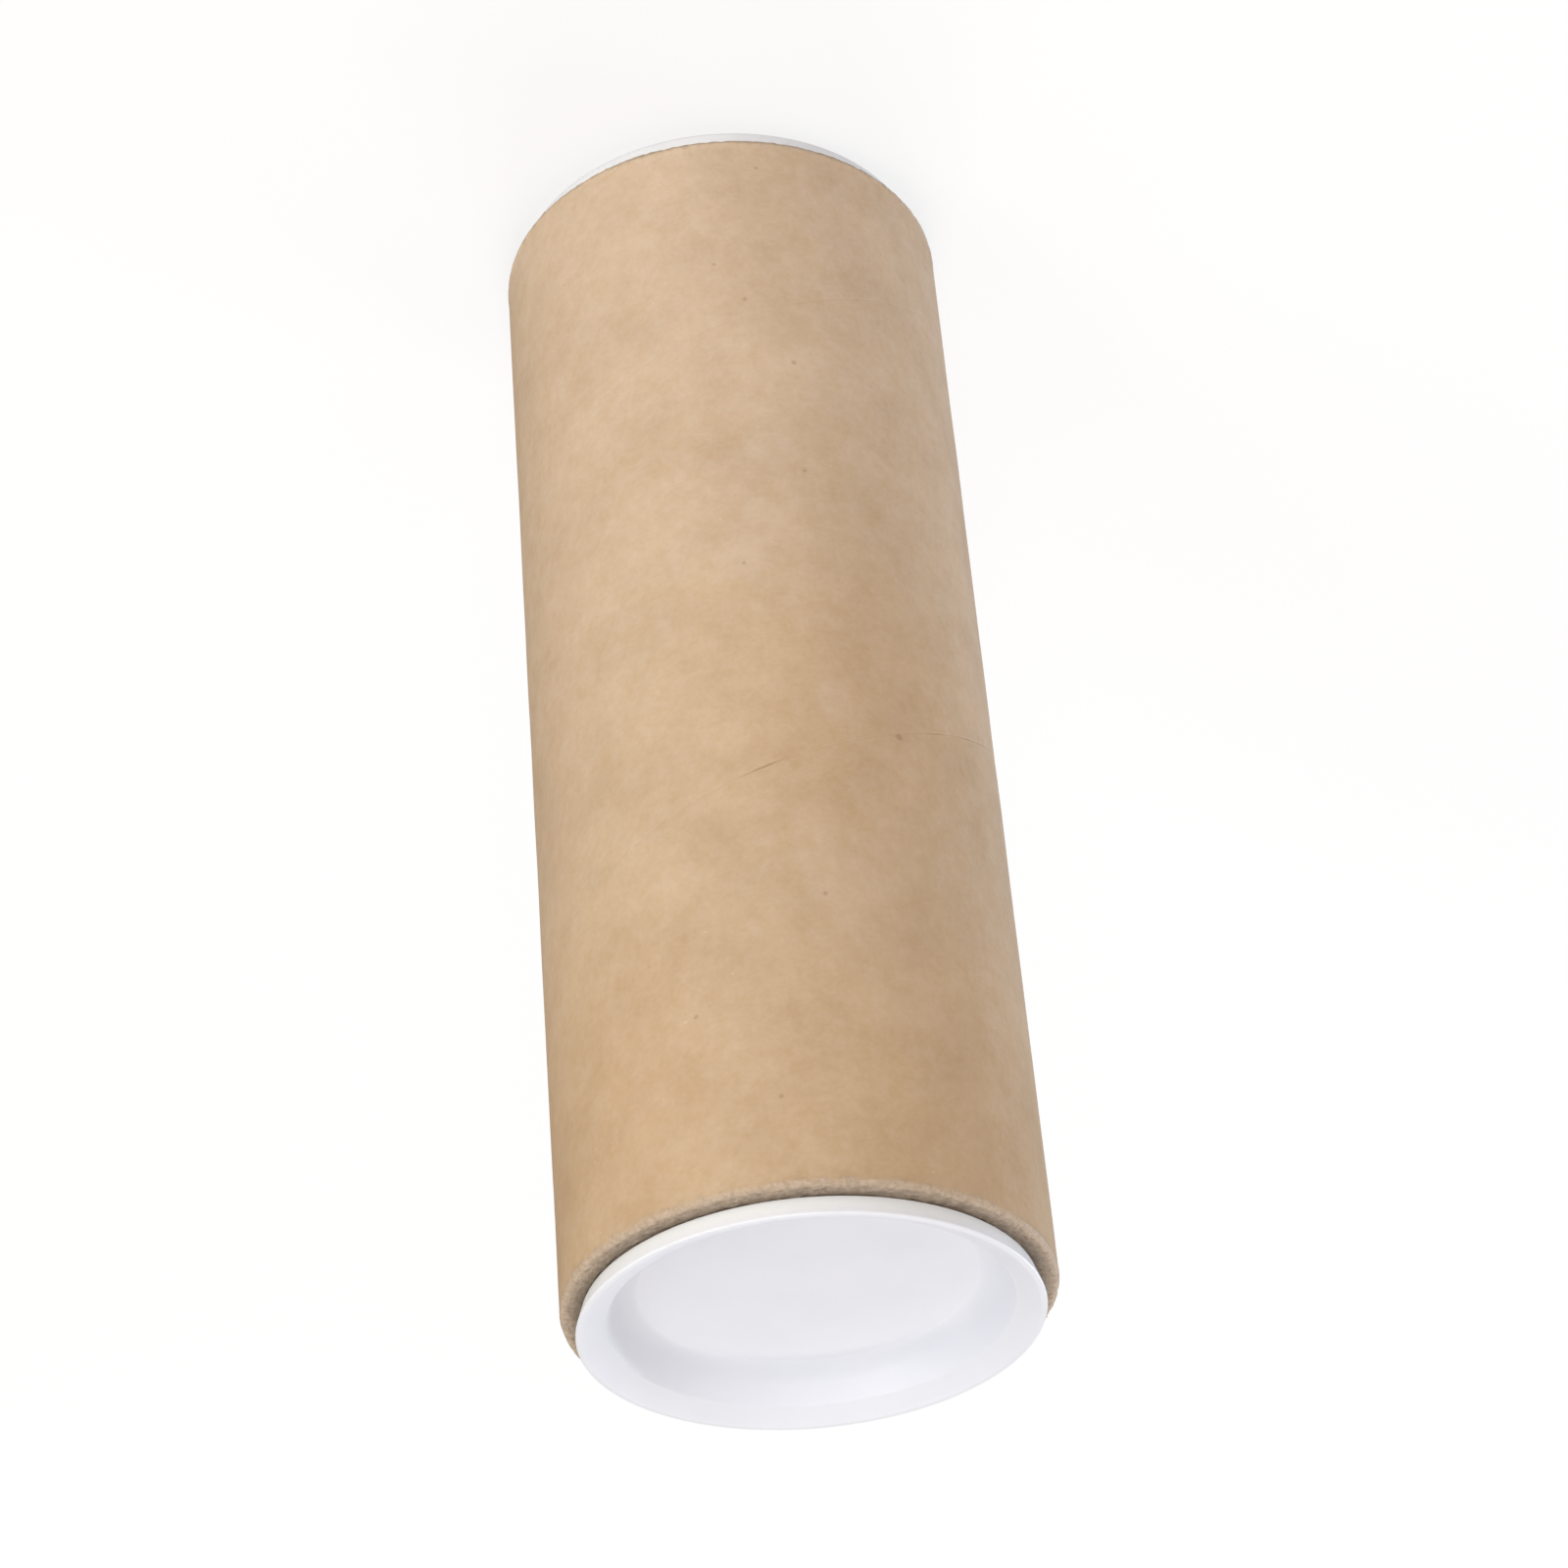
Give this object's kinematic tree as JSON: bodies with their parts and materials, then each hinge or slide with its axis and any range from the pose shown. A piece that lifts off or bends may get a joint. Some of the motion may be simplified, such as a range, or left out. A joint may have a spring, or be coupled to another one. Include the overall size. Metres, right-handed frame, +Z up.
{
  "type": "cardboard mailing tube",
  "caption": "Short spiral-wound cardboard tube for posting rolled papers, closed at each end by a white push-in plastic cap with a dished recess.",
  "frame": {"origin": "centre of the plane that the tube stands on, under the bottom cap's rim", "axes": "+Z up along the tube's axis, from the bottom cap to the top cap; -Y is the side that the picture shows"},
  "size_m": [0.0568, 0.0568, 0.1574],
  "materials": {
    "kraft_board": "uncoated kraft paper, matt, with a spiral seam",
    "white_plastic": "moulded white polyethylene, satin"
  },
  "bodies": {
    "bottom_cap": {"bottom_cap": "white_plastic"},
    "tube": {"tube": "kraft_board"},
    "top_cap": {"top_cap": "white_plastic"}
  },
  "joints": [
    {"name": "bottom_cap_pull", "type": "slide", "parent": "bottom_cap", "child": "tube", "axis": [0, 0, 1], "range_m": [0, 0.014]},
    {"name": "top_cap_pull", "type": "slide", "parent": "tube", "child": "top_cap", "axis": [0, 0, 1], "range_m": [0, 0.014]}
  ]
}
